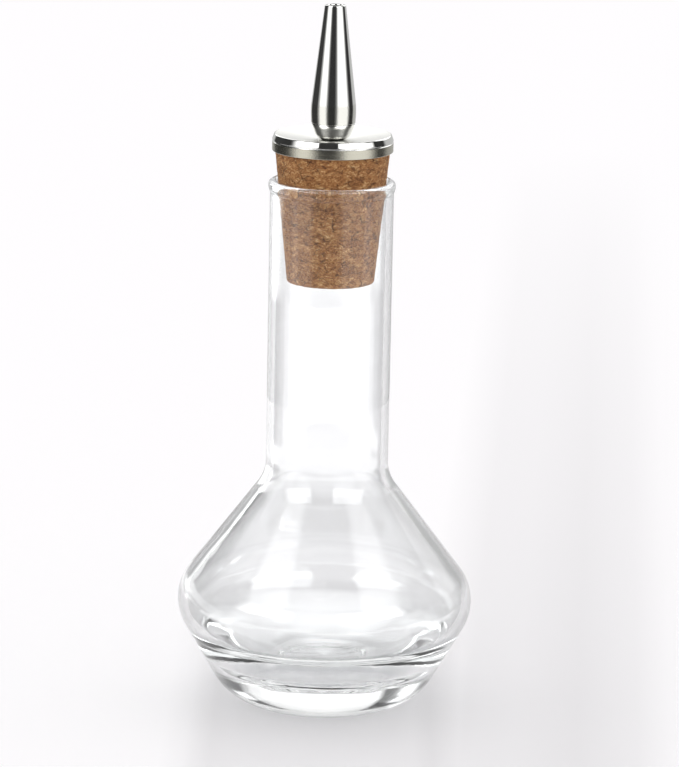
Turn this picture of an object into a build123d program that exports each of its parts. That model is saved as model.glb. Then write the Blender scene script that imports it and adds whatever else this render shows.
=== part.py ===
from build123d import *
import math
import os

# Bitters bottle with a corked dasher top. Every piece is turned about the Z axis.
# Lengths are in millimetres, angles in degrees, and the bottle rests on z = 0.

# Glass bottle, outside
bottle_height = 118.7
body_diameter = 66.0
widest_height = 23.4
edge_radius = 10.3  # rounding between the lower cone and the shoulder
foot_diameter = 42.6  # where the lower cone would meet the table
heel_radius = 13.0
neck_diameter = 27.3
neck_base_height = 52.3  # where the shoulder cone would meet the neck
neck_blend_radius = 10.0
lip_bulge = 0.35
lip_height = 2.6
lip_slope_height = 1.0
push_up_depth = 0.8
push_up_share = 0.8  # of the flat that the bottle rests on

# Glass bottle, inside: a bore, a shoulder that follows the outer one, and a bowl
neck_wall = 1.65
shoulder_wall = 2.2
bowl_edge_height = 21.0  # where the inner shoulder would meet the bowl's side
bowl_edge_radius = 8.0
bowl_floor_corner = 15.5  # radius where the bowl's side would meet its floor
bowl_floor_round = 19.0
base_thickness = 10.0
floor_dimple_radius = 9.6
floor_dimple_depth = 0.8
floor_dimple_slope = 2.0  # width of the dimple's sloping edge
floor_land = 0.3  # least flat floor left round the dimple
lip_chamfer_share = 0.3  # of the lip's thickness, for each of its two edges

# Cork stopper
cork_depth = 22.5  # from the lip down to the cork's lower face
cork_reveal = 6.65  # bare cork between the lip and the cap
cork_taper = 5.9
cork_clearance = 0.08  # round the cork where the mouth grips it
cork_chamfer = 0.45

# Steel cap
cap_height = 3.8
cap_sheet = 0.6
cap_clearance = 0.05  # between the skirt and the cork's head
cap_dish_depth = 1.3
cap_land_radius = 3.2  # flat middle that the spout stands on
cap_shoulder_inset = 0.45
cap_shoulder_drop = 1.25
cap_groove_depth = 0.15
cap_groove_width = 0.4
cap_groove_drop = 1.6  # from the rim down to the groove

# Steel stem through the cork, cap and collar
stem_radius = 2.0
stem_bore_radius = 1.4
stem_clearance = 0.04
stem_foot_radius = 3.6
stem_foot_thickness = 0.6
stem_foot_clearance = 0.1

# Steel collar under the spout
collar_height = 3.7  # from the cap's land up to the seam
collar_radius = 4.75
collar_foot_radius = 2.3
collar_cup_radius = 3.75  # the turn between the cup's bottom and its side
collar_cup_height = 0.5
collar_cup_round = 1.8
collar_flare_drop = 0.55  # from the seam down to where the side turns upright
collar_flare_round = 2.6
spigot_height = 1.9
spigot_clearance = 0.02

# Steel dasher spout
spout_length = 25.9
spout_seam_radius = 4.85
spout_belly_radius = 5.02
spout_belly_height = 3.1
spout_belly_round = 20.0
spout_tip_radius = 2.31
spout_wall = 0.6
spout_orifice_radius = 1.45
spout_tip_chamfer = 0.2


def turned(corners):
    # Closed outline of (radius, height, rounding) corners, turned about the Z axis
    points = [(radius, height) for radius, height, _ in corners]
    roundings = [rounding for _, _, rounding in corners]
    outline = make_face(FilletPolyline(points, radius=roundings, close=True))
    return revolve(Plane.XZ * outline, Axis.Z)


def direction(start, end):
    return math.atan2(end[1] - start[1], end[0] - start[0])


def tangent_tilt(point, centre, radius):
    # Angle between the line to a circle's centre and the tangent to the circle
    return math.asin(radius / math.dist(point, centre))


def inward(point, angle, distance):
    # The point moved square to the wall's direction, towards the axis
    return (point[0] - distance * math.sin(angle), point[1] + distance * math.cos(angle))


def meeting_point(point_a, angle_a, point_b, angle_b):
    # Where two lines cross, each given by a point and a direction
    gap_r, gap_z = point_b[0] - point_a[0], point_b[1] - point_a[1]
    turn = math.sin(angle_b - angle_a)
    along = (gap_r * math.sin(angle_b) - gap_z * math.cos(angle_b)) / turn
    return (point_a[0] + along * math.cos(angle_a), point_a[1] + along * math.sin(angle_a))


def radius_at(point, angle, height):
    # Radius of a straight wall at a height
    return point[0] + (height - point[1]) / math.tan(angle)


# Walls of the body: two cones that run off one rounded edge
foot = (foot_diameter / 2, 0)
neck_base = (neck_diameter / 2, neck_base_height)
edge_centre = (body_diameter / 2 - edge_radius, widest_height)
lower_angle = direction(foot, edge_centre) - tangent_tilt(foot, edge_centre, edge_radius)
shoulder_angle = direction(edge_centre, neck_base) + tangent_tilt(neck_base, edge_centre, edge_radius)
edge = meeting_point(foot, lower_angle, neck_base, shoulder_angle)

# Mouth and bore of the neck
bore_radius = neck_diameter / 2 - neck_wall
lip_radius = neck_diameter / 2 + lip_bulge
lip_chamfer = lip_chamfer_share * (lip_radius - bore_radius)
mouth_grip_height = bottle_height - lip_chamfer


def glass_bottle():
    neck_radius = neck_diameter / 2
    rest_radius = foot[0] - heel_radius * math.tan(lower_angle / 2)
    push_up_radius = push_up_share * rest_radius
    lip_bottom = bottle_height - lip_height

    inner_neck = inward(neck_base, shoulder_angle, shoulder_wall)
    bore_base = meeting_point(inner_neck, shoulder_angle, (bore_radius, 0), math.pi / 2)
    bowl_edge = (radius_at(inner_neck, shoulder_angle, bowl_edge_height), bowl_edge_height)

    # The rounding from the floor into the bowl's side is limited by the floor's width
    floor_corner = (bowl_floor_corner, base_thickness)
    floor_width = bowl_floor_corner - floor_dimple_radius - floor_land
    floor_round = min(bowl_floor_round, floor_width / math.tan(direction(floor_corner, bowl_edge) / 2))

    return turned([
        (0, push_up_depth, 0),
        (push_up_radius - push_up_depth, push_up_depth, 0),
        (push_up_radius, 0, 0),
        (*foot, heel_radius),
        (*edge, edge_radius),
        (*neck_base, neck_blend_radius),
        (neck_radius, lip_bottom, 0),
        (lip_radius, lip_bottom + lip_slope_height, 0),
        (lip_radius, bottle_height - lip_chamfer, 0),
        (lip_radius - lip_chamfer, bottle_height, 0),
        (bore_radius + lip_chamfer, bottle_height, 0),
        (bore_radius, mouth_grip_height, 0),
        (*bore_base, neck_blend_radius + neck_wall),
        (*bowl_edge, bowl_edge_radius),
        (*floor_corner, floor_round),
        (floor_dimple_radius, base_thickness, 0),
        (floor_dimple_radius - floor_dimple_slope, base_thickness - floor_dimple_depth, 0),
        (0, base_thickness - floor_dimple_depth, 0),
    ])


# The cork hangs in the mouth, the cap covers its head, and the spout stands on the cap
taper = math.tan(math.radians(cork_taper))
cork_grip_radius = bore_radius - cork_clearance
cork_bottom_height = bottle_height - cork_depth
cap_bottom_height = bottle_height + cork_reveal
cork_head_radius = cork_grip_radius + (cap_bottom_height - mouth_grip_height) * taper
cap_rim_height = cap_bottom_height + cap_height
cap_land_height = cap_rim_height - cap_dish_depth
cork_top_height = cap_land_height - cap_sheet
seam_height = cap_land_height + collar_height
spout_bore_radius = spout_seam_radius - spout_wall
stem_hole_radius = stem_radius + stem_clearance
spigot_top_height = seam_height + spigot_height


def cork_stopper():
    bottom_radius = cork_grip_radius - (mouth_grip_height - cork_bottom_height) * taper
    foot_recess_radius = stem_foot_radius + stem_foot_clearance
    recess_height = cork_bottom_height + stem_foot_thickness
    return turned([
        (foot_recess_radius, cork_bottom_height, 0),
        (bottom_radius - cork_chamfer, cork_bottom_height, 0),
        (bottom_radius + cork_chamfer * taper, cork_bottom_height + cork_chamfer, 0),
        (cork_head_radius, cap_bottom_height, 0),
        (cork_head_radius, cork_top_height - cork_chamfer, 0),
        (cork_head_radius - cork_chamfer, cork_top_height, 0),
        (stem_hole_radius, cork_top_height, 0),
        (stem_hole_radius, recess_height, 0),
        (foot_recess_radius, recess_height, 0),
    ])


def cap_disc():
    inner_radius = cork_head_radius + cap_clearance
    outer_radius = inner_radius + cap_sheet
    shoulder_height = cap_rim_height - cap_shoulder_drop
    groove_height = cap_rim_height - cap_groove_drop
    half_groove = cap_groove_width / 2
    return turned([
        (stem_hole_radius, cap_land_height, 0),
        (cap_land_radius, cap_land_height, 0),
        (outer_radius - cap_shoulder_inset, cap_rim_height, 0),
        (outer_radius, shoulder_height, 0),
        (outer_radius, groove_height + half_groove, 0),
        (outer_radius - cap_groove_depth, groove_height, 0),
        (outer_radius, groove_height - half_groove, 0),
        (outer_radius, cap_bottom_height, 0),
        (inner_radius, cap_bottom_height, 0),
        (inner_radius, shoulder_height, 0),
        (inner_radius - cap_shoulder_inset, cap_rim_height - cap_sheet, 0),
        (cap_land_radius, cork_top_height, 0),
        (stem_hole_radius, cork_top_height, 0),
    ])


def stem_tube():
    foot_top_height = cork_bottom_height + stem_foot_thickness
    return turned([
        (stem_bore_radius, cork_bottom_height, 0),
        (stem_foot_radius, cork_bottom_height, 0),
        (stem_foot_radius, foot_top_height, 0),
        (stem_radius, foot_top_height, 0),
        (stem_radius, spigot_top_height, 0),
        (stem_bore_radius, spigot_top_height, 0),
    ])


def spout_collar():
    cup_height = cap_land_height + collar_cup_height
    flare_height = seam_height - collar_flare_drop
    spigot_radius = spout_bore_radius - spigot_clearance
    return turned([
        (stem_hole_radius, cap_land_height, 0),
        (collar_foot_radius, cap_land_height, 0),
        (collar_cup_radius, cup_height, collar_cup_round),
        (collar_radius, flare_height, collar_flare_round),
        (collar_radius, seam_height, 0),
        (spigot_radius, seam_height, 0),
        (spigot_radius, spigot_top_height, 0),
        (stem_hole_radius, spigot_top_height, 0),
    ])


def dasher_spout():
    belly_height = seam_height + spout_belly_height
    tip_height = seam_height + spout_length
    return turned([
        (spout_bore_radius, seam_height, 0),
        (spout_seam_radius, seam_height, 0),
        (spout_belly_radius, belly_height, spout_belly_round),
        (spout_tip_radius, tip_height - spout_tip_chamfer, 0),
        (spout_tip_radius - spout_tip_chamfer, tip_height, 0),
        (spout_orifice_radius + spout_tip_chamfer, tip_height, 0),
        (spout_orifice_radius, tip_height - spout_tip_chamfer, 0),
        (spout_belly_radius - spout_wall, belly_height, spout_belly_round),
    ])


pieces = {
    "glass_bottle": glass_bottle(),
    "cork_stopper": cork_stopper(),
    "cap_disc": cap_disc(),
    "stem_tube": stem_tube(),
    "spout_collar": spout_collar(),
    "dasher_spout": dasher_spout(),
}

os.makedirs("parts", exist_ok=True)
for name, shape in pieces.items():
    export_step(shape, f"parts/{name}.step")
    print(name, round(shape.volume, 1), "cubic mm")
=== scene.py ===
import math
import bpy
from mathutils import Matrix, Vector


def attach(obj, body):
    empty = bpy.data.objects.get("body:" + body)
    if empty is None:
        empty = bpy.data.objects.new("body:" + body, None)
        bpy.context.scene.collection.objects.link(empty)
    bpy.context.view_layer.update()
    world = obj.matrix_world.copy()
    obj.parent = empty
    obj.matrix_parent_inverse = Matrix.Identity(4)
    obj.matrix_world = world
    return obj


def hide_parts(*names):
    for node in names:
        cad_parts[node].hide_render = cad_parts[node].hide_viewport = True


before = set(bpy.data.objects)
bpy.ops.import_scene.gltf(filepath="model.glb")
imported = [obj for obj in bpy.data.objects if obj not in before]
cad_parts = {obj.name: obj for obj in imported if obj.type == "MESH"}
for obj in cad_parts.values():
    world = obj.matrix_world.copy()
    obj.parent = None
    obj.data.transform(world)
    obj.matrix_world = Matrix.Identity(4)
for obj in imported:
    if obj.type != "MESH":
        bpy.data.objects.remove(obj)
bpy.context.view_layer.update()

mm = 0.001


# Small helpers

def hexColor(code):
    parts = [int(code[i:i + 2], 16) / 255 for i in (1, 3, 5)]
    linear = [c / 12.92 if c <= 0.04045 else ((c + 0.055) / 1.055) ** 2.4 for c in parts]
    return (*linear, 1.0)


def addNode(tree, kind, inputs=None, **settings):
    node = tree.nodes.new(kind)
    for name, value in settings.items():
        setattr(node, name, value)
    for socket, value in (inputs or {}).items():
        if isinstance(value, bpy.types.NodeSocket):
            tree.links.new(value, node.inputs[socket])
        else:
            node.inputs[socket].default_value = value
    return node


def setRamp(node, stops, interpolation="LINEAR"):
    ramp = node.color_ramp
    ramp.interpolation = interpolation
    while len(ramp.elements) < len(stops):
        ramp.elements.new(1.0)
    for element, (place, color) in zip(ramp.elements, stops):
        element.position = place
        element.color = color
    return node


def newMaterial(name):
    material = bpy.data.materials.new(name)
    material.use_nodes = True
    material.node_tree.nodes.clear()
    return material, material.node_tree


def showShader(tree, socket):
    addNode(tree, "ShaderNodeOutputMaterial", {"Surface": socket})


def math1(tree, operation, a, b=0.0):
    return addNode(tree, "ShaderNodeMath", {0: a, 1: b}, operation=operation).outputs[0]


def weighed(tree, values, shares):
    # sum of the values, each times its share
    total = math1(tree, "MULTIPLY", values[0], shares[0])
    for value, share in zip(values[1:], shares[1:]):
        total = math1(tree, "ADD", total, math1(tree, "MULTIPLY", value, share))
    return total


def mixColor(tree, factor, a, b):
    return addNode(tree, "ShaderNodeMix", {"Factor": factor, 6: a, 7: b}, data_type="RGBA").outputs[2]


def mixShader(tree, factor, a, b):
    return addNode(tree, "ShaderNodeMixShader", {0: factor, 1: a.outputs[0], 2: b.outputs[0]})


def ease(tree, value, low, high, start=0.0, end=1.0):
    # smooth step from start to end while the value goes from low to high
    node = addNode(tree, "ShaderNodeMapRange", {"Value": value, "From Min": low, "From Max": high,
                                                "To Min": start, "To Max": end},
                   interpolation_type="SMOOTHSTEP")
    return node.outputs[0]


# Outlines: a turned piece is a list of (radius, height, rounding) corners in millimetres

def roundCorner(before, corner, after, rounding, stepDegrees):
    # points of the arc that rounds one corner, or the corner alone
    if rounding <= 0:
        return [corner]
    back, ahead = (before - corner).normalized(), (after - corner).normalized()
    half = back.angle(ahead) / 2
    reach = rounding / math.tan(half)
    centre = corner + (back + ahead).normalized() * (rounding / math.sin(half))
    first = corner + back * reach - centre
    last = corner + ahead * reach - centre
    turn = math.atan2(first.x * last.y - first.y * last.x, first.dot(last))
    steps = max(3, math.ceil(abs(math.degrees(turn)) / stepDegrees))
    arc = []
    for i in range(steps + 1):
        angle = turn * i / steps
        c, s = math.cos(angle), math.sin(angle)
        arc.append(centre + Vector((first.x * c - first.y * s, first.x * s + first.y * c)))
    return arc


def fillStraights(points, longest, support):
    # long straights get points in between, and one close to each end so that the shading stays true
    filled = []
    for here, there in zip(points, points[1:]):
        filled.append(here)
        length = (there - here).length
        if length > 4 * support:
            run = (there - here) / length
            inner = max(1, math.ceil((length - 2 * support) / longest))
            for i in range(inner + 1):
                filled.append(here + run * (support + (length - 2 * support) * i / inner))
    filled.append(points[-1])
    return filled


def outlineOf(corners, closed=True, stepDegrees=6.0, longest=1.2, support=0.06):
    spots = [Vector((r, z)) for r, z, _ in corners]
    count = len(spots)
    points = []
    for i, (_, _, rounding) in enumerate(corners):
        if not closed and i in (0, count - 1):
            points.append(spots[i])
            continue
        points += roundCorner(spots[i - 1], spots[i], spots[(i + 1) % count], rounding, stepDegrees)
    if closed:
        points.append(points[0])
    return fillStraights(points, longest, support)


# A Geometry Nodes tree turns an outline round the Z axis, and a relief shapes its surface

def turningTree(name, relief=None):
    tree = bpy.data.node_groups.new(name, "GeometryNodeTree")
    socket = tree.interface.new_socket
    socket("Outline", in_out="INPUT", socket_type="NodeSocketGeometry")
    socket("Steps", in_out="INPUT", socket_type="NodeSocketInt").default_value = 96
    socket("Depth", in_out="INPUT", socket_type="NodeSocketFloat")
    socket("Seed", in_out="INPUT", socket_type="NodeSocketFloat")
    socket("Finish", in_out="INPUT", socket_type="NodeSocketMaterial")
    socket("Turned", in_out="OUTPUT", socket_type="NodeSocketGeometry")
    given = addNode(tree, "NodeGroupInput").outputs

    rows = addNode(tree, "GeometryNodeAttributeDomainSize",
                   {"Geometry": given["Outline"]}).outputs["Point Count"]
    grid = addNode(tree, "GeometryNodeMeshGrid",
                   {"Vertices X": math1(tree, "ADD", given["Steps"], 1.0), "Vertices Y": rows})
    index = addNode(tree, "GeometryNodeInputIndex").outputs[0]
    row = math1(tree, "MODULO", index, rows)
    column = math1(tree, "FLOOR", math1(tree, "DIVIDE", index, rows))
    angle = math1(tree, "MULTIPLY", math1(tree, "DIVIDE", column, given["Steps"]), math.tau)
    spot = addNode(tree, "GeometryNodeSampleIndex",
                   {"Geometry": given["Outline"], "Index": row}, data_type="FLOAT_VECTOR")
    tree.links.new(addNode(tree, "GeometryNodeInputPosition").outputs[0], spot.inputs["Value"])
    share = addNode(tree, "GeometryNodeSampleIndex",
                    {"Geometry": given["Outline"], "Index": row}, data_type="FLOAT")
    named = addNode(tree, "GeometryNodeInputNamedAttribute", {"Name": "reliefShare"}, data_type="FLOAT")
    tree.links.new(named.outputs[0], share.inputs["Value"])
    turn = addNode(tree, "ShaderNodeVectorRotate", {"Vector": spot.outputs[0], "Angle": angle},
                   rotation_type="Z_AXIS")
    keep = addNode(tree, "GeometryNodeStoreNamedAttribute",
                   {"Geometry": grid.outputs["Mesh"], "Name": "reliefShare", "Value": share.outputs[0]},
                   data_type="FLOAT", domain="POINT")
    wrap = addNode(tree, "GeometryNodeSetPosition",
                   {"Geometry": keep.outputs["Geometry"], "Position": turn.outputs[0]})
    weld = addNode(tree, "GeometryNodeMergeByDistance",
                   {"Geometry": wrap.outputs["Geometry"], "Distance": 0.001 * mm})
    shaped = weld.outputs["Geometry"]
    if relief:
        place = addNode(tree, "GeometryNodeInputPosition").outputs[0]
        height = relief(tree, place, given["Seed"])
        shareAgain = addNode(tree, "GeometryNodeInputNamedAttribute", {"Name": "reliefShare"},
                             data_type="FLOAT").outputs[0]
        height = math1(tree, "MULTIPLY", height, math1(tree, "MULTIPLY", given["Depth"], shareAgain))
        normal = addNode(tree, "GeometryNodeInputNormal").outputs[0]
        push = addNode(tree, "ShaderNodeVectorMath", {0: normal, "Scale": height}, operation="SCALE")
        shaped = addNode(tree, "GeometryNodeSetPosition",
                         {"Geometry": shaped, "Offset": push.outputs[0]}).outputs["Geometry"]
    smooth = addNode(tree, "GeometryNodeSetShadeSmooth", {"Geometry": shaped})
    real = addNode(tree, "GeometryNodeRealizeInstances", {"Geometry": smooth.outputs["Geometry"]})
    dressed = addNode(tree, "GeometryNodeSetMaterial",
                      {"Geometry": real.outputs["Geometry"], "Material": given["Finish"]})
    addNode(tree, "NodeGroupOutput", {"Turned": dressed.outputs["Geometry"]})
    return tree


def signedVolume(mesh):
    total = 0.0
    for face in mesh.polygons:
        spots = [mesh.vertices[i].co for i in face.vertices]
        for a, b in zip(spots[1:], spots[2:]):
            total += spots[0].dot(a.cross(b))
    return total / 6


def turnedPiece(name, outline, tree, material, steps=128, depth=0.0, seed=0.0, shares=None):
    # depth in millimetres; shares say how much of it each outline point gets
    mesh = bpy.data.meshes.new(name)
    mesh.from_pydata([(p.x * mm, 0, p.y * mm) for p in outline],
                     [(i, i + 1) for i in range(len(outline) - 1)], [])
    shareLayer = mesh.attributes.new("reliefShare", "FLOAT", "POINT")
    shareLayer.data.foreach_set("value", shares or [1.0] * len(outline))
    maker = bpy.data.objects.new(name + ".outline", mesh)
    bpy.context.collection.objects.link(maker)
    modifier = maker.modifiers.new("turn", "NODES")
    modifier.node_group = tree
    values = {"Steps": steps, "Depth": depth * mm, "Seed": seed, "Finish": material}
    for item in tree.interface.items_tree:
        if item.name in values:
            modifier[item.identifier] = values[item.name]
    bpy.context.view_layer.update()
    turned = bpy.data.meshes.new_from_object(
        maker.evaluated_get(bpy.context.evaluated_depsgraph_get()))
    turned.name = name
    bpy.data.objects.remove(maker)
    if signedVolume(turned) < 0:
        turned.flip_normals()
    piece = bpy.data.objects.new(name, turned)
    bpy.context.collection.objects.link(piece)
    print(name, "turned:", len(turned.polygons), "faces")
    return piece


def place(piece, body, slot, *nodes):
    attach(piece, body)
    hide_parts(*nodes)


# The glass bottle

bottle = {
    "height": 118.7,
    "bodyRadius": 33.0,
    "widestHeight": 23.4,
    "edgeRadius": 10.3,
    "footRadius": 21.3,
    "heelRadius": 13.0,
    "neckRadius": 13.65,
    "neckBase": 52.3,
    "neckBlend": 10.0,
    "lipBulge": 0.35,
    "lipHeight": 2.6,
    "lipSlope": 1.0,
    "lipBlend": 2.0,
    "neckWall": 1.65,
    "shoulderWall": 2.2,
    "bowlEdgeHeight": 21.0,  # where the inner shoulder would meet the bowl's side
    "bowlEdgeRound": 8.0,
    "bowlCorner": 15.5,  # radius where that side would meet the floor
    "bowlRound": 19.0,
    "baseThickness": 10.0,
    "dimpleRadius": 9.6,
    "dimpleDepth": 0.8,
    "dimpleSlope": 2.0,
    "dimpleRound": 1.6,
    "pushUpDepth": 0.8,
    "pushUpRadius": 11.0,
    "pushUpRound": 1.5,
    "steps": 224,
    "waves": 0.3,  # millimetres from hollow to crest, where the mould chilled the glass most
    "waveStretch": (90.0, 90.0, 190.0),  # waves to the metre along each axis
    "waveSeed": 3.0,
    "outerShare": 0.06,
    "innerShare": 0.25,
    "lowShare": 1.0,  # inside, below the widest part
    "lowFade": 12.0,  # height over which one share turns into the other
    "calmRadius": 8.0,  # the waves fade towards the axis
    "seatDepth": 30.0,  # no waves inside the mouth, where the cork sits
    "seatFade": 10.0,
    "restHeight": 0.5,  # and none on the ring that it stands on
    "tint": "#FDFEFE",
    "paintedEdgeShade": "#3A3C3E",  # painted shade where a wall is seen edge on
    "edgePower": 3.0,
    "ior": 1.51,
    "passed": "#F0F1F1",  # what a lamp's light keeps on its way through
    "bounces": 2.5,  # rays deeper than this go straight on
}


def glassWaves(tree, place, seed):
    # slow hollows and crests, longer round the bottle than up it
    squeeze = addNode(tree, "ShaderNodeVectorMath", {0: place, 1: bottle["waveStretch"]},
                      operation="MULTIPLY").outputs[0]
    noise = addNode(tree, "ShaderNodeTexNoise", {"Vector": squeeze, "W": seed, "Scale": 1.0, "Detail": 1.0},
                    noise_dimensions="4D").outputs[0]
    return math1(tree, "SUBTRACT", noise, 0.5)


def clearGlass():
    # Soda-lime glass, pressed and fire polished: bright, with dark lines only where a wall turns away; those
    # lines are shade painted into its colour
    material, tree = newMaterial("clearSodaGlass")
    # painted shade: the colour turns dark grey as the surface is seen more edge on
    facing = addNode(tree, "ShaderNodeLayerWeight", {"Blend": 0.5}).outputs["Facing"]
    edge = math1(tree, "POWER", facing, bottle["edgePower"])
    tone = mixColor(tree, edge, hexColor(bottle["tint"]), hexColor(bottle["paintedEdgeShade"]))
    body = addNode(tree, "ShaderNodeBsdfPrincipled", {
        "Base Color": tone, "Roughness": 0.0,
        "IOR": bottle["ior"], "Transmission Weight": 1.0})
    # lamps pass the glass, so that it leaves only a faint shadow
    path = addNode(tree, "ShaderNodeLightPath")
    clear = addNode(tree, "ShaderNodeBsdfTransparent", {"Color": hexColor(bottle["passed"])})
    trapped = math1(tree, "GREATER_THAN", path.outputs["Glossy Depth"], bottle["bounces"])
    through = math1(tree, "MAXIMUM", path.outputs["Is Shadow Ray"], trapped)
    showShader(tree, mixShader(tree, through, body, clear).outputs[0])
    return material


def aim(start, end):
    return math.atan2(end.y - start.y, end.x - start.x)


def crossing(spotA, angleA, spotB, angleB):
    # where two walls meet, each given by a spot and a direction
    gap = spotB - spotA
    along = (gap.x * math.sin(angleB) - gap.y * math.cos(angleB)) / math.sin(angleB - angleA)
    return spotA + along * Vector((math.cos(angleA), math.sin(angleA)))


def bottleOutline(b):
    foot = Vector((b["footRadius"], 0))
    neckBase = Vector((b["neckRadius"], b["neckBase"]))
    edgeCentre = Vector((b["bodyRadius"] - b["edgeRadius"], b["widestHeight"]))
    lowerAngle = aim(foot, edgeCentre) - math.asin(b["edgeRadius"] / (edgeCentre - foot).length)
    shoulderAngle = aim(edgeCentre, neckBase) + math.asin(b["edgeRadius"] / (neckBase - edgeCentre).length)
    edge = crossing(foot, lowerAngle, neckBase, shoulderAngle)

    bore = b["neckRadius"] - b["neckWall"]
    innerNeck = neckBase + b["shoulderWall"] * Vector((-math.sin(shoulderAngle), math.cos(shoulderAngle)))
    boreFoot = crossing(innerNeck, shoulderAngle, Vector((bore, 0)), math.pi / 2)
    bowlEdge = crossing(innerNeck, shoulderAngle, Vector((0, b["bowlEdgeHeight"])), 0.0)
    lip = b["neckRadius"] + b["lipBulge"]
    lipBottom = b["height"] - b["lipHeight"]
    lipRound = 0.45 * (lip - bore)
    dimpleFloor = b["baseThickness"] - b["dimpleDepth"]
    return outlineOf([
        (0, b["pushUpDepth"], 0),
        (b["pushUpRadius"] - b["pushUpDepth"], b["pushUpDepth"], b["pushUpRound"]),
        (b["pushUpRadius"], 0, 0.3),
        (*foot, b["heelRadius"]),
        (*edge, b["edgeRadius"]),
        (*neckBase, b["neckBlend"]),
        (b["neckRadius"], lipBottom, b["lipBlend"]),
        (lip, lipBottom + b["lipSlope"], b["lipBlend"]),
        (lip, b["height"], lipRound),
        (bore, b["height"], lipRound),
        (*boreFoot, b["neckBlend"] + b["neckWall"]),
        (*bowlEdge, b["bowlEdgeRound"]),
        (b["bowlCorner"], b["baseThickness"], b["bowlRound"]),
        (b["dimpleRadius"], b["baseThickness"], b["dimpleRound"]),
        (b["dimpleRadius"] - b["dimpleSlope"], dimpleFloor, b["dimpleRound"]),
        (0, dimpleFloor, 0),
    ], closed=False, stepDegrees=2.0, longest=1.0)


def makeBottle():
    b = bottle
    outline = bottleOutline(b)
    top = max(range(len(outline)), key=lambda i: outline[i].y)
    shares = []
    for i, spot in enumerate(outline):
        rise = spot.y - b["widestHeight"] + b["lowFade"] / 2
        low = 1 - min(1, max(0, rise / b["lowFade"]))
        inside = b["innerShare"] + (b["lowShare"] - b["innerShare"]) * low
        near = min(1, spot.x / b["calmRadius"])
        flat = 0 if spot.y < b["restHeight"] else 1
        if i > top:
            seat = min(1, max(0, (b["height"] - b["seatDepth"] - spot.y) / b["seatFade"]))
            shares.append(inside * near * seat * flat)
        else:
            shares.append(b["outerShare"] * near * flat)
    piece = turnedPiece("bottle_glass", outline, wavyTree, clearGlass(), b["steps"], b["waves"],
                        b["waveSeed"], shares)
    place(piece, "bottle", "clear_glass", "glass_bottle")


# The cork stopper

cork = {
    "bottom": 96.2,
    "bottomRadius": 9.66,
    "headBase": 125.35,  # the cap's skirt ends here
    "headRadius": 12.67,
    "top": 127.25,
    "bore": 2.04,
    "recess": 3.7,  # round the stem's foot
    "recessTop": 96.8,
    "edgeRound": 0.6,
    "granule": 2.6,  # millimetres across a large granule
    "crumb": 0.9,
    "squash": 1.5,  # granules are wider than they are high
    "warp": 2.6,  # how far their edges wander
    "warpScale": 420.0,
    "gapScale": 520.0,  # patches where joints are open
    "jointWidth": 0.07,  # as a share of a granule
    "crumbJointWidth": 0.1,
    "relief": 0.22,  # depth of the open joints between granules
    "reliefShares": (0.22, 0.16, 0.62),  # granules, crumbs, joints
    "grainScale": 1900.0,
    "grainSquash": 2.4,
    "fleckScale": 1100.0,
    "toneShares": (0.2, 0.3, 2.2, 1.8),  # granules, crumbs, grain, flecks
    "toneDrop": 1.76,
    "streakScale": 700.0,
    "streakSquash": 3.2,
    "streakWidth": 0.03,
    "patchScale": 330.0,  # where streaks gather
    "jointDark": 0.85,
    "roughness": 0.85,
    "steps": 330,
    "rows": 0.24,
    "hiddenRows": 1.5,
    "shades": [(0.0, "#52331A"), (0.3, "#87562E"), (0.55, "#A26F40"), (0.8, "#B98B58"), (1.0, "#D9B583")],
    "joint": "#3A2212",
    "bark": "#4C2E18",
}


def granules(tree, place):
    # pressed cork: flaky granules of two sizes, with open joints here and there
    c = cork
    warp = addNode(tree, "ShaderNodeTexNoise", {"Vector": place, "Scale": c["warpScale"], "Detail": 3.0})
    bend = addNode(tree, "ShaderNodeVectorMath", {0: warp.outputs["Color"], 1: (0.5, 0.5, 0.5)},
                   operation="SUBTRACT")
    far = addNode(tree, "ShaderNodeVectorMath", {0: bend.outputs[0], "Scale": c["warp"] * mm},
                  operation="SCALE")
    flat = addNode(tree, "ShaderNodeVectorMath", {0: place, 1: (1.0, 1.0, c["squash"])},
                   operation="MULTIPLY")
    spot = addNode(tree, "ShaderNodeVectorMath", {0: flat.outputs[0], 1: far.outputs[0]}, operation="ADD")
    size = 1 / (c["granule"] * mm)
    crumbSize = 1 / (c["crumb"] * mm)
    cell = addNode(tree, "ShaderNodeTexVoronoi", {"Vector": spot.outputs[0], "Scale": size})
    rim = addNode(tree, "ShaderNodeTexVoronoi", {"Vector": spot.outputs[0], "Scale": size},
                  feature="DISTANCE_TO_EDGE")
    crumb = addNode(tree, "ShaderNodeTexVoronoi", {"Vector": spot.outputs[0], "Scale": crumbSize})
    crumbRim = addNode(tree, "ShaderNodeTexVoronoi", {"Vector": spot.outputs[0], "Scale": crumbSize},
                       feature="DISTANCE_TO_EDGE")
    gaps = addNode(tree, "ShaderNodeTexNoise", {"Vector": place, "Scale": c["gapScale"], "Detail": 2.0})
    openness = ease(tree, gaps.outputs[0], 0.47, 0.6)  # joints are open only in places
    joint = ease(tree, rim.outputs["Distance"], 0.0, c["jointWidth"], 1.0, 0.0)
    joint = math1(tree, "MULTIPLY", joint, openness)
    fine = ease(tree, crumbRim.outputs["Distance"], 0.0, c["crumbJointWidth"], 1.0, 0.0)
    fine = math1(tree, "MULTIPLY", fine, ease(tree, gaps.outputs[0], 0.55, 0.7))
    cellTone = addNode(tree, "ShaderNodeSeparateXYZ", {0: cell.outputs["Color"]}).outputs
    crumbTone = addNode(tree, "ShaderNodeSeparateXYZ", {0: crumb.outputs["Color"]}).outputs
    return cellTone, crumbTone, math1(tree, "MAXIMUM", joint, math1(tree, "MULTIPLY", fine, 0.7)), spot


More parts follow.
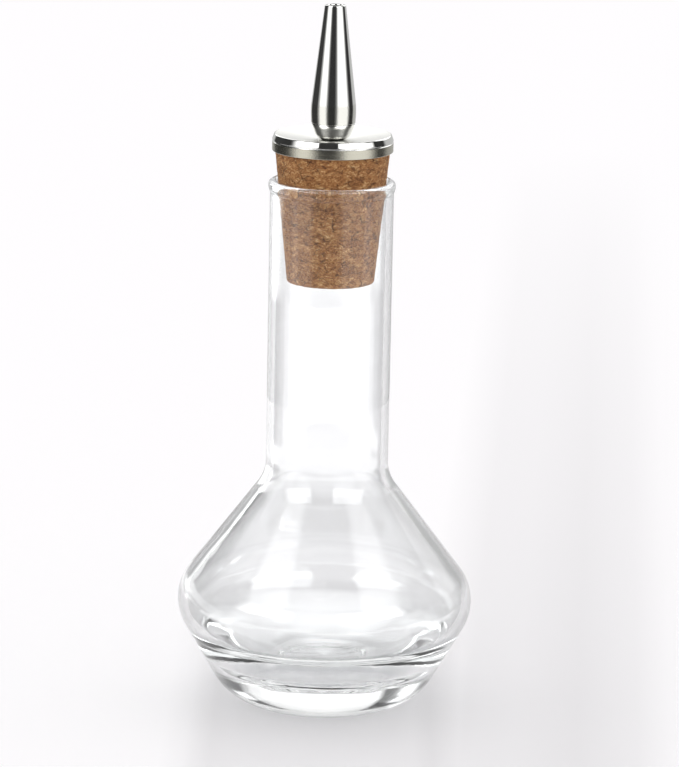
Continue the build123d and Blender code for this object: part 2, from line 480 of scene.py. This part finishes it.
def corkRelief(tree, place, seed):
    # granules stand at slightly different heights, joints are sunk; the material repeats
    # this pattern, so the seed stays unused
    cellTone, crumbTone, joint, _ = granules(tree, place)
    sunk = weighed(tree, (cellTone[1], crumbTone[1], joint), cork["reliefShares"])
    return math1(tree, "MULTIPLY", sunk, -1.0)


def pressedCork():
    # Agglomerated cork, ground to a taper: matte tan and brown flakes, dark where joints stay open
    material, tree = newMaterial("pressedCork")
    c = cork
    coords = addNode(tree, "ShaderNodeTexCoord").outputs["Object"]
    cellTone, crumbTone, joint, spot = granules(tree, coords)
    grainPlace = addNode(tree, "ShaderNodeVectorMath", {0: spot.outputs[0], 1: (1.0, 1.0, c["grainSquash"])},
                         operation="MULTIPLY").outputs[0]
    grain = addNode(tree, "ShaderNodeTexNoise", {"Vector": grainPlace, "Scale": c["grainScale"],
                                                 "Detail": 4.0, "Roughness": 0.65}).outputs[0]
    flecks = addNode(tree, "ShaderNodeTexNoise", {"Vector": spot.outputs[0], "Scale": c["fleckScale"],
                                                  "Detail": 5.0, "Roughness": 0.7,
                                                  "Distortion": 0.6}).outputs[0]
    tone = weighed(tree, (cellTone[0], crumbTone[0], grain, flecks), c["toneShares"])
    tone = math1(tree, "SUBTRACT", tone, c["toneDrop"])
    shade = setRamp(addNode(tree, "ShaderNodeValToRGB", {"Fac": tone}),
                    [(at, hexColor(code)) for at, code in c["shades"]])
    # thin lines of bark inside a granule
    streakPlace = addNode(tree, "ShaderNodeVectorMath",
                          {0: spot.outputs[0], 1: (1.0, 1.0, c["streakSquash"])},
                          operation="MULTIPLY").outputs[0]
    streak = addNode(tree, "ShaderNodeTexNoise", {"Vector": streakPlace, "Scale": c["streakScale"],
                                                  "Detail": 3.0}).outputs[0]
    line = math1(tree, "ABSOLUTE", math1(tree, "SUBTRACT", streak, 0.5))
    line = ease(tree, line, 0.0, c["streakWidth"], 1.0, 0.0)
    patches = addNode(tree, "ShaderNodeTexNoise", {"Vector": coords, "Scale": c["patchScale"],
                                                   "Detail": 2.0}).outputs[0]
    line = math1(tree, "MULTIPLY", line, ease(tree, patches, 0.42, 0.62, 0.1, 0.95))
    barked = mixColor(tree, line, shade.outputs[0], hexColor(c["bark"]))
    sunk = math1(tree, "MULTIPLY", joint, c["jointDark"])
    colour = mixColor(tree, sunk, barked, hexColor(c["joint"]))
    bump = addNode(tree, "ShaderNodeBump", {"Height": grain, "Strength": 0.5, "Distance": 0.08 * mm})
    body = addNode(tree, "ShaderNodeBsdfPrincipled", {"Base Color": colour,
                                                      "Roughness": c["roughness"],
                                                      "Normal": bump.outputs[0]})
    showShader(tree, body.outputs[0])
    return material


def makeCork():
    c = cork
    outline = outlineOf([
        (c["recess"], c["bottom"], 0),
        (c["bottomRadius"], c["bottom"], c["edgeRound"]),
        (c["headRadius"], c["headBase"], 0),
        (c["headRadius"], c["top"], c["edgeRound"]),
        (c["bore"], c["top"], 0),
        (c["bore"], c["recessTop"], 0),
        (c["recess"], c["recessTop"], 0),
    ], stepDegrees=15, longest=c["rows"], support=0.05)
    kept = []
    underCap = c["headBase"] + 0.3
    for spot in outline:  # fine rows only where the cork can be seen
        hidden = spot.y > underCap or spot.x < c["recess"] - 0.1
        if hidden and kept and (spot - kept[-1]).length < c["hiddenRows"] and spot is not outline[-1]:
            continue
        kept.append(spot)
    shares = [0.0 if s.y > underCap or s.x < c["recess"] + 0.2 else 1.0 for s in kept]
    piece = turnedPiece("cork_body", kept, granuleTree, pressedCork(), c["steps"], c["relief"],
                        shares=shares)
    place(piece, "stopper", "cork", "cork_stopper")


# Steel pieces

steel = {
    "color": "#E4E4E1",  # stainless steel, hardly warm
    "polish": 0.035,
    "buffing": 0.03,  # added in the rings that buffing leaves
    "satinColor": "#B4B1A4",
    "ringStretch": (40.0, 40.0, 3500.0),
    "gritScale": 3600.0,
    "gritDepth": 0.06,
}

spout = {
    "seam": 131.55,
    "seamRadius": 4.85,
    "bellyRadius": 5.02,
    "bellyHeight": 3.1,
    "bellyRound": 20.0,
    "length": 25.9,
    "tipRadius": 2.31,
    "wall": 0.6,
    "orifice": 1.45,
    "tipRound": 0.3,
    "seamRound": 0.1,
    "satinLow": 131.7,  # a band left satin
    "satinHigh": 135.4,
    "satin": {"soft": 0.8, "rougher": 0.06, "grainy": 0.4, "duller": 0.4},
}

collar = {
    "land": 127.85,  # the cap's middle, which it stands on
    "footRadius": 2.3,
    "cupRadius": 3.75,
    "cupHeight": 0.5,
    "cupRound": 1.8,
    "radius": 4.75,
    "flareDrop": 0.55,
    "flareRound": 2.6,
    "height": 3.7,
    "spigotRadius": 4.23,
    "spigotHeight": 1.9,
    "bore": 2.04,
}

cap = {
    "bottom": 125.35,
    "height": 3.8,
    "innerRadius": 12.72,
    "sheet": 0.6,
    "dish": 1.3,
    "landRadius": 3.2,
    "shoulderInset": 0.45,
    "shoulderDrop": 1.25,
    "shoulderRound": 0.35,
    "grooveDepth": 0.15,
    "grooveWidth": 0.4,
    "grooveDrop": 1.6,
    "edgeRound": 0.15,
    "bore": 2.04,
    "skirtSatin": {"soft": 0.05, "rougher": 0.2, "grainy": 1.0, "duller": 1.0},
    "discSatin": {"soft": 0.2, "rougher": 0.26, "grainy": 0.2, "duller": 0.2},
    "discInset": 0.75,  # the bright rim round the satin disc
}

stem = {
    "foot": 96.2,
    "footRadius": 3.6,
    "footThickness": 0.6,
    "radius": 2.0,
    "bore": 1.4,
    "top": 133.45,
    "edgeRound": 0.12,
    "color": "#C4C2BC",
    "drawStretch": (4000.0, 4000.0, 90.0),
    "roughLow": 0.22,
    "roughHigh": 0.42,
}


def satinZone(low, high, widest, finish):
    # between two heights and inside a radius, in millimetres
    return {"low": low, "high": high, "widest": widest, **finish}


def stainless(name, satin=()):
    # Stainless steel, turned and buffed: mirror bright, with faint rings, and satin where it was left so
    material, tree = newMaterial(name)
    coords = addNode(tree, "ShaderNodeTexCoord").outputs["Object"]
    squeeze = addNode(tree, "ShaderNodeVectorMath", {0: coords, 1: steel["ringStretch"]},
                      operation="MULTIPLY").outputs[0]
    rings = addNode(tree, "ShaderNodeTexNoise", {"Vector": squeeze, "Scale": 1.0, "Detail": 2.0}).outputs[0]
    rough = ease(tree, rings, 0.35, 0.75, steel["polish"], steel["polish"] + steel["buffing"])
    sockets = {"Metallic": 1.0, "Base Color": hexColor(steel["color"])}
    if satin:
        height = addNode(tree, "ShaderNodeSeparateXYZ", {0: coords}).outputs["Z"]
        level = addNode(tree, "ShaderNodeVectorMath", {0: coords, 1: (1.0, 1.0, 0.0)},
                        operation="MULTIPLY")
        radius = addNode(tree, "ShaderNodeVectorMath", {0: level.outputs[0]},
                         operation="LENGTH").outputs["Value"]
        grit = addNode(tree, "ShaderNodeTexNoise", {"Vector": coords, "Scale": steel["gritScale"],
                                                    "Detail": 3.0}).outputs[0]
        grain = 0.0
        dulled = 0.0
        for zone in satin:
            low, high, widest, soft = (zone[name] for name in ("low", "high", "widest", "soft"))
            mask = math1(tree, "MULTIPLY", ease(tree, height, (low - soft) * mm, low * mm),
                         ease(tree, height, high * mm, (high + soft) * mm, 1.0, 0.0))
            mask = math1(tree, "MULTIPLY", mask,
                         ease(tree, radius, widest * mm, (widest + soft) * mm, 1.0, 0.0))
            rough = math1(tree, "ADD", rough, math1(tree, "MULTIPLY", mask, zone["rougher"]))
            grain = math1(tree, "ADD", math1(tree, "MULTIPLY", mask, zone["grainy"]), grain)
            dulled = math1(tree, "ADD", math1(tree, "MULTIPLY", mask, zone["duller"]), dulled)
        bump = addNode(tree, "ShaderNodeBump", {"Height": math1(tree, "MULTIPLY", grit, grain),
                                                "Strength": 0.5, "Distance": steel["gritDepth"] * mm})
        sockets["Normal"] = bump.outputs[0]
        sockets["Base Color"] = mixColor(tree, dulled, hexColor(steel["color"]),
                                         hexColor(steel["satinColor"]))
    sockets["Roughness"] = rough
    metal = addNode(tree, "ShaderNodeBsdfPrincipled", sockets)
    showShader(tree, metal.outputs[0])
    return material


def drawnTube():
    # Drawn stainless tube: dull along its length
    material, tree = newMaterial("drawnStainless")
    coords = addNode(tree, "ShaderNodeTexCoord").outputs["Object"]
    squeeze = addNode(tree, "ShaderNodeVectorMath", {0: coords, 1: stem["drawStretch"]},
                      operation="MULTIPLY").outputs[0]
    lines = addNode(tree, "ShaderNodeTexNoise", {"Vector": squeeze, "Scale": 1.0, "Detail": 3.0}).outputs[0]
    rough = ease(tree, lines, 0.3, 0.7, stem["roughLow"], stem["roughHigh"])
    bump = addNode(tree, "ShaderNodeBump", {"Height": lines, "Strength": 0.25, "Distance": 0.02 * mm})
    metal = addNode(tree, "ShaderNodeBsdfPrincipled", {"Base Color": hexColor(stem["color"]), "Metallic": 1.0,
                                                       "Roughness": rough, "Normal": bump.outputs[0]})
    showShader(tree, metal.outputs[0])
    return material


def makeSpout():
    s = spout
    belly, tip = s["seam"] + s["bellyHeight"], s["seam"] + s["length"]
    outline = outlineOf([
        (s["seamRadius"] - s["wall"], s["seam"], 0),
        (s["seamRadius"], s["seam"], s["seamRound"]),
        (s["bellyRadius"], belly, s["bellyRound"]),
        (s["tipRadius"], tip, s["tipRound"]),
        (s["orifice"], tip, s["tipRound"]),
        (s["bellyRadius"] - s["wall"], belly, s["bellyRound"]),
    ], stepDegrees=2.5, longest=0.9, support=0.05)
    band = satinZone(s["satinLow"], s["satinHigh"], 2 * s["bellyRadius"], s["satin"])
    piece = turnedPiece("spout_steel", outline, plainTree, stainless("buffedStainless", [band]), 128)
    place(piece, "stopper", "steel_spout", "dasher_spout")


def makeCollar():
    c = collar
    seam = c["land"] + c["height"]
    outline = outlineOf([
        (c["bore"], c["land"], 0),
        (c["footRadius"], c["land"], 0.05),
        (c["cupRadius"], c["land"] + c["cupHeight"], c["cupRound"]),
        (c["radius"], seam - c["flareDrop"], c["flareRound"]),
        (c["radius"], seam, 0),
        (c["spigotRadius"], seam, 0),
        (c["spigotRadius"], seam + c["spigotHeight"], 0.1),
        (c["bore"], seam + c["spigotHeight"], 0.1),
    ], stepDegrees=3, longest=0.8, support=0.04)
    piece = turnedPiece("collar_steel", outline, plainTree, stainless("buffedStainlessCup"), 128)
    place(piece, "stopper", "steel_spout", "spout_collar")


def makeCap():
    c = cap
    inner, outer = c["innerRadius"], c["innerRadius"] + c["sheet"]
    rim = c["bottom"] + c["height"]
    land = rim - c["dish"]
    shoulder, groove, half = rim - c["shoulderDrop"], rim - c["grooveDrop"], c["grooveWidth"] / 2
    outline = outlineOf([
        (c["bore"], land, 0),
        (c["landRadius"], land, 0.3),
        (outer - c["shoulderInset"], rim, c["shoulderRound"]),
        (outer, shoulder, c["shoulderRound"]),
        (outer, groove + half, 0.03),
        (outer - c["grooveDepth"], groove, 0.08),
        (outer, groove - half, 0.06),
        (outer, c["bottom"], c["edgeRound"]),
        (inner, c["bottom"], c["edgeRound"]),
        (inner, shoulder, 0),
        (inner - c["shoulderInset"], rim - c["sheet"], 0),
        (c["landRadius"], land - c["sheet"], 0),
        (c["bore"], land - c["sheet"], 0),
    ], stepDegrees=6, longest=0.8, support=0.04)
    skirt = satinZone(c["bottom"] - 1, groove - half, outer + 1, c["skirtSatin"])
    disc = satinZone(land - 0.2, rim + 1, outer - c["discInset"], c["discSatin"])
    piece = turnedPiece("cap_steel", outline, plainTree, stainless("pressedStainless", [skirt, disc]), 192)
    place(piece, "stopper", "steel_cap", "cap_disc")


def makeStem():
    s = stem
    footTop = s["foot"] + s["footThickness"]
    outline = outlineOf([
        (s["bore"], s["foot"], s["edgeRound"]),
        (s["footRadius"], s["foot"], s["edgeRound"]),
        (s["footRadius"], footTop, s["edgeRound"]),
        (s["radius"], footTop, 0),
        (s["radius"], s["top"], s["edgeRound"]),
        (s["bore"], s["top"], s["edgeRound"]),
    ], stepDegrees=15, longest=3.0, support=0.04)
    piece = turnedPiece("stem_steel", outline, plainTree, drawnTube(), 64)
    place(piece, "stopper", "steel_stem", "stem_tube")


plainTree = turningTree("turnPlain")
wavyTree = turningTree("turnWavyGlass", glassWaves)
granuleTree = turningTree("turnGranular", corkRelief)

makeBottle()
makeCork()
makeCap()
makeStem()
makeCollar()
makeSpout()


# Studio: a white cove behind, a soft box each side of the camera and dark gaps between them

studio = {
    # degrees from the camera towards +X, and brightness, at four heights above level
    "low": [(-180, 0.62), (-150, 0.62), (-142, 0.05), (-92, 0.05), (-80, 0.6), (-72, 1.5), (-42, 1.5),
            (-32, 0.25), (-24, 0.04), (6, 0.04), (16, 0.3), (26, 1.5), (74, 1.5), (84, 0.4), (92, 0.04),
            (114, 0.04), (124, 0.62), (180, 0.62)],
    "middle": [(-180, 1.7), (-147, 1.7), (-143, 0.04), (-91, 0.04), (-87, 0.15), (-76, 1.5), (-33, 1.5),
               (-29, 0.04), (12, 0.04), (16, 1.5), (84, 1.5), (90, 0.04), (117, 0.04), (121, 1.7),
               (180, 1.7)],
    "high": [(-180, 1.7), (-147, 1.7), (-143, 0.04), (-91, 0.04), (-85, 0.04), (-72, 5.5), (-33, 5.5),
             (-28, 0.04), (11, 0.04), (16, 5.5), (70, 5.5), (76, 0.04), (117, 0.04), (121, 1.7),
             (180, 1.7)],
    "top": [(-180, 0.2), (-90, 0.2), (-84, 1.7), (-45, 1.7), (-41, 0.2), (41, 0.2), (45, 1.7), (84, 1.7),
            (90, 0.2), (180, 0.2)],
    # the same for what shows through the glass, from these degrees above level up; set
    # so that the lights and darks in the glass lie where the photo has them
    "through": [
        (-90.0, [(-180, 1.0), (-166, 1.0), (-160, 0.65), (-154, 0.7), (-150, 2.2), (-135, 2.4),
                 (-60, 2.4), (60, 1.6), (90, 1.4), (132, 1.15), (138, 0.85), (150, 0.7), (160, 0.65),
                 (166, 0.95), (180, 1.0)]),
        (9.0, [(-180, 0.62), (-156, 0.62), (-153, 1.1), (-149, 0.4), (-145, 0.3), (-138, 0.5),
               (-132, 0.15), (-126, 0.6), (-120, 1.1), (-60, 1.1), (60, 1.1), (114, 1.1), (122, 0.3),
               (134, 0.3), (140, 0.62), (150, 1.1), (154, 1.1), (158, 0.62), (180, 0.62)]),
        (18.4, [(-180, 1.2), (-157, 1.2), (-153, 0.05), (-127, 0.05), (-121, 1.0), (-60, 1.0), (60, 1.0),
                (100, 0.3), (108, 0.1), (140, 0.1), (146, 0.7), (152, 0.9), (156, 1.2), (180, 1.2)]),
        (26.0, [(-180, 1.2), (-158, 1.2), (-154, 0.05), (-124, 0.05), (-118, 1.0), (-60, 1.0), (60, 1.0),
                (78, 0.05), (142, 0.05), (147, 0.9), (152, 1.0), (157, 1.2), (180, 1.2)]),
        (48.0, [(-180, 1.2), (180, 1.2)]),
    ],
    "throughSoft": 1.0,  # degrees, half of each change
    "frontGlass": 0.6,  # below level on the camera's side, seen in the inner walls
    "frontGlassTop": 8.0,  # degrees above level where that has given way to the boxes
    "brightest": 5.5,
    "frontShare": 0.25,  # of a turn, each side of the camera: the boxes' half of the room
    "frontSoft": 0.01,
    "lowEnd": 10.0,  # degrees above level where the lowest ring gives way to the middle one
    "middleStart": 15.0,
    "boxFoot": 24.0,  # where the soft boxes begin and end
    "boxFootSoft": 1.5,
    "boxTop": 44.0,
    "hazeTop": 55.0,  # a fainter part of the boxes ends here
    "topSoft": 2.0,
    "ceiling": 0.06,
    "fill": 1.0,  # what matte surfaces see
}


def ringOf(tree, azimuth, stops):
    top = studio["brightest"]
    return setRamp(addNode(tree, "ShaderNodeValToRGB", {"Fac": azimuth}),
                   [((a + 180) / 360, (v / top, v / top, v / top, 1.0)) for a, v in stops]).outputs[0]


def ringsOf(tree, azimuth, level, rings, soft):
    # each ring takes over from the one before where the level passes its start
    shown = ringOf(tree, azimuth, rings[0][1])
    for start, stops in rings[1:]:
        shown = mixColor(tree, ease(tree, level, start - soft, start + soft), shown,
                         ringOf(tree, azimuth, stops))
    return shown


def turnOf(tree, split):
    # 0 to 1 round the bottle, with 0.5 on the side of the camera in the photo
    angle = math1(tree, "ARCTAN2", split["X"], math1(tree, "MULTIPLY", split["Y"], -1.0))
    return addNode(tree, "ShaderNodeMapRange",
                   {"Value": angle, "From Min": -math.pi, "From Max": math.pi}).outputs[0]


def lightStudio():
    world = bpy.data.worlds.new("studio")
    bpy.context.scene.world = world
    world.use_nodes = True
    tree = world.node_tree
    tree.nodes.clear()
    coords = addNode(tree, "ShaderNodeTexCoord").outputs["Generated"]
    split = addNode(tree, "ShaderNodeSeparateXYZ", {0: coords}).outputs
    azimuth = turnOf(tree, split)
    height = math1(tree, "MULTIPLY", math1(tree, "ARCSINE", split["Z"]), 180 / math.pi)
    level = studio["ceiling"] / studio["brightest"]
    topSoft, frontSoft = studio["topSoft"], studio["frontSoft"]
    lower = mixColor(tree, ease(tree, height, studio["lowEnd"], studio["middleStart"]),
                     ringOf(tree, azimuth, studio["low"]), ringOf(tree, azimuth, studio["middle"]))
    boxes = mixColor(tree, ease(tree, height, studio["boxFoot"], studio["boxFoot"] + studio["boxFootSoft"]),
                     lower, ringOf(tree, azimuth, studio["high"]))
    hazed = mixColor(tree, ease(tree, height, studio["boxTop"] - topSoft, studio["boxTop"] + topSoft),
                     boxes, ringOf(tree, azimuth, studio["top"]))
    roof = mixColor(tree, ease(tree, height, studio["hazeTop"] - topSoft, studio["hazeTop"] + topSoft),
                    hazed, (level, level, level, 1.0))
    room = addNode(tree, "ShaderNodeBackground", {"Color": roof, "Strength": studio["brightest"]})
    far = ringsOf(tree, azimuth, height, studio["through"], studio["throughSoft"])
    dim = studio["frontGlass"] / studio["brightest"]
    near = mixColor(tree, ease(tree, height, 0.0, studio["frontGlassTop"]), (dim, dim, dim, 1.0), roof)
    aside = math1(tree, "ABSOLUTE", math1(tree, "SUBTRACT", azimuth, 0.5))
    mixed = mixColor(tree, ease(tree, aside, studio["frontShare"] - frontSoft,
                                studio["frontShare"] + frontSoft), near, far)
    beyond = addNode(tree, "ShaderNodeBackground", {"Color": mixed, "Strength": studio["brightest"]})
    fill = addNode(tree, "ShaderNodeBackground", {"Color": (1, 1, 1, 1), "Strength": studio["fill"]})
    white = addNode(tree, "ShaderNodeBackground", {"Color": (1, 1, 1, 1), "Strength": 1.0})
    path = addNode(tree, "ShaderNodeLightPath").outputs
    lit = mixShader(tree, path["Is Glossy Ray"], fill, room)
    been = math1(tree, "GREATER_THAN", path["Transmission Depth"], 0.5)
    glass = mixShader(tree, been, lit, beyond)
    seen = mixShader(tree, path["Is Camera Ray"], glass, white)
    addNode(tree, "ShaderNodeOutputWorld", {"Surface": seen.outputs[0]})
    print("studio lit")


table = {
    "back": 1.6,  # metres from the bottle
    "side": 1.0,
    "front": 0.62,
    "mirrorEnd": 0.3,  # beyond this a mirror sees the dark room instead of the paper
    "innerEnd": 0.45,  # the same in front of the bottle for its inner walls
    "frontStart": 0.2,  # metres before the bottle where "in front" begins
    "paper": "#E3E1E3",  # white paper in the bottle's own soft shade
    # millimetres to the right of the bottle's axis, and how far the paper there brightens to white
    "around": [(-100, 1.0), (-35, 1.0), (-30, 0.8), (-27, 0.55), (-24, 0.35), (-20, 0.4), (20, 0.4),
               (24, 0.2), (28, 0.4), (33, 0.62), (42, 1.0), (100, 1.0)],
    "aroundStart": 0.05,  # metres behind the bottle, where that shade begins and ends to fade
    "aroundEnd": 0.15,
    "strip": [(-100, 1.0), (20, 1.0), (33, 0.45), (44, 0.42), (58, 0.25), (71, 0.47), (79, 0.82), (88, 1.0),
              (100, 1.0)],
    "stripEnd": 0.75,
    "stripLean": 0.065,  # the strip of shade leans to the right
    # light added to the paper that shows through the glass, from these distances in metres
    # outwards; set like the room's rings
    "beside": [
        (0.0, [(-180, 0.45), (-168, 0.4), (-155, 0.15), (-60, 0.12), (60, 0.12), (155, 0.15), (168, 0.4),
               (180, 0.45)]),
        (0.05, [(-180, 0.05), (-145, 0.0), (-100, 0.08), (0, 0.08), (60, 0.08), (100, 0.08), (130, 0.0),
                (180, 0.0)]),
        (0.085, [(-180, 0.1), (-168, 0.1), (-160, 0.0), (-140, 0.0), (-128, 0.05), (-112, 0.05), (-100, 0.08),
                 (0, 0.08), (60, 0.1), (75, 0.15), (95, 0.12), (110, 0.03), (130, 0.0), (162, 0.0),
                 (170, 0.1), (180, 0.1)]),
        (0.135, [(-180, 0.1), (-150, 0.12), (-126, 0.08), (-112, 0.1), (-106, 2.0), (-60, 2.0),
                 (-50, 0.1), (50, 0.1), (60, 2.0), (106, 2.0), (112, 0.05), (119, 0.0), (139, 0.0),
                 (150, 0.05), (164, 0.1), (180, 0.1)]),
        (0.2, [(-180, 0.08), (-150, 0.12), (-137, 0.18), (-133, 2.0), (-60, 2.0), (60, 2.0), (116, 2.0),
               (120, 0.03), (139, 0.04), (150, 0.03), (164, 0.05), (180, 0.08)]),
        (0.255, [(-180, 0.03), (-150, 0.05), (-126, 0.14), (-117, 0.1), (-103, 0.0), (-97, 2.0), (-60, 2.0),
                 (60, 2.0), (96, 2.0), (102, 0.0), (119, 0.03), (139, 0.04), (150, 0.0), (164, 0.01),
                 (180, 0.03)]),
        (0.46, [(-180, 0.15), (-156, 0.06), (-148, 1.5), (-120, 2.0), (-108, 0.5), (60, 0.5), (104, 0.5),
                (114, 0.3), (120, 0.0), (150, 0.0), (164, 0.08), (180, 0.15)]),
    ],
    "besideSoft": 0.015,
}


def shadeAcross(tree, across, stops):
    # from the first stop to the last, both as far from the axis
    reach = stops[-1][0]
    place = addNode(tree, "ShaderNodeMapRange", {"Value": across, "From Min": -reach * mm,
                                                 "From Max": reach * mm}).outputs[0]
    bright = setRamp(addNode(tree, "ShaderNodeValToRGB", {"Fac": place}),
                     [(at / (2 * reach) + 0.5, (v, v, v, 1.0)) for at, v in stops]).outputs[0]
    return math1(tree, "SUBTRACT", 1.0, bright)


def layTable():
    # white paper on a table that ends a little way in front of the bottle
    mesh = bpy.data.meshes.new("table_paper")
    side, back, front = table["side"], table["back"], table["front"]
    mesh.from_pydata([(-side, -front, 0), (side, -front, 0), (side, back, 0), (-side, back, 0)], [],
                     [(0, 1, 2, 3)])
    paper = bpy.data.objects.new("table_paper", mesh)
    bpy.context.collection.objects.link(paper)
    material, tree = newMaterial("whitePaper")
    matte = addNode(tree, "ShaderNodeBsdfDiffuse", {"Color": hexColor(table["paper"])})
    coords = addNode(tree, "ShaderNodeTexCoord").outputs["Object"]
    split = addNode(tree, "ShaderNodeSeparateXYZ", {0: coords}).outputs
    path = addNode(tree, "ShaderNodeLightPath").outputs
    room = 1 - hexColor(table["paper"])[0]
    # painted shade: the paper's glow drops beside and just behind the bottle, and in a strip to its right
    around = shadeAcross(tree, split["X"], table["around"])
    behind = ease(tree, split["Y"], table["aroundStart"], table["aroundEnd"], 1.0, 0.0)
    around = math1(tree, "MULTIPLY", around, behind)
    lean = math1(tree, "MULTIPLY", split["Y"], table["stripLean"])
    strip = shadeAcross(tree, math1(tree, "SUBTRACT", split["X"], lean), table["strip"])
    fade = addNode(tree, "ShaderNodeMapRange", {"Value": split["Y"], "From Max": table["stripEnd"],
                                                "To Min": 1.0, "To Max": 0.0}).outputs[0]
    shade = math1(tree, "MAXIMUM", around, math1(tree, "MULTIPLY", strip, fade))
    bright = math1(tree, "MULTIPLY", math1(tree, "SUBTRACT", 1.0, shade), room)
    away = addNode(tree, "ShaderNodeVectorMath", {0: coords}, operation="LENGTH").outputs["Value"]
    # painted light: where the glass shows it, the paper glows by the beside rings, up to a strength of 2
    sides = ringsOf(tree, turnOf(tree, split), away, table["beside"], table["besideSoft"])
    sides = math1(tree, "MULTIPLY", sides, studio["brightest"])
    light = addNode(tree, "ShaderNodeMix", {"Factor": path["Is Transmission Ray"], 2: bright,
                                            3: sides}).outputs[0]
    glow = addNode(tree, "ShaderNodeEmission", {"Color": (1, 1, 1, 1), "Strength": light})
    seen = math1(tree, "MAXIMUM", path["Is Camera Ray"],
                 math1(tree, "MAXIMUM", path["Is Glossy Ray"], path["Is Transmission Ray"]))
    nothing = addNode(tree, "ShaderNodeEmission", {"Strength": 0.0})
    shown = mixShader(tree, seen, nothing, glow)
    both = addNode(tree, "ShaderNodeAddShader", {0: matte.outputs[0], 1: shown.outputs[0]})
    beyond = addNode(tree, "ShaderNodeBsdfTransparent")
    mirrored = math1(tree, "SUBTRACT", path["Is Glossy Ray"], path["Is Transmission Ray"])
    before = math1(tree, "LESS_THAN", split["Y"], -table["frontStart"])
    inFront = math1(tree, "MULTIPLY", path["Is Glossy Ray"], before)
    past = math1(tree, "MAXIMUM",
                 math1(tree, "MULTIPLY", mirrored, math1(tree, "GREATER_THAN", away, table["mirrorEnd"])),
                 math1(tree, "MULTIPLY", inFront, math1(tree, "GREATER_THAN", away, table["innerEnd"])))
    showShader(tree, mixShader(tree, past, both, beyond).outputs[0])
    mesh.materials.append(material)


lightStudio()
layTable()


# The camera stands where the photograph was taken from

cameraPlace = {
    "distance": 0.85,  # metres in front of the bottle's axis
    "height": 0.2691,
    "aside": 0.00247,
    "pitch": 13.0,  # degrees below level
    "roll": 1.107,
    "lens": 3921.1 / 767 * 36,  # millimetres, from the lens in pixels over the picture's height
}


def placeCamera():
    data = bpy.data.cameras.new("camera")
    data.lens = cameraPlace["lens"]
    data.sensor_width = 36
    data.clip_start = 0.01
    camera = bpy.data.objects.new("camera", data)
    bpy.context.collection.objects.link(camera)
    tilt = Matrix.Rotation(math.radians(90 - cameraPlace["pitch"]), 4, "X")
    roll = Matrix.Rotation(math.radians(cameraPlace["roll"]), 4, "Z")
    spot = Matrix.Translation((cameraPlace["aside"], -cameraPlace["distance"], cameraPlace["height"]))
    camera.matrix_world = spot @ tilt @ roll
    bpy.context.scene.camera = camera


placeCamera()
bpy.context.scene.view_settings.view_transform = "Standard"
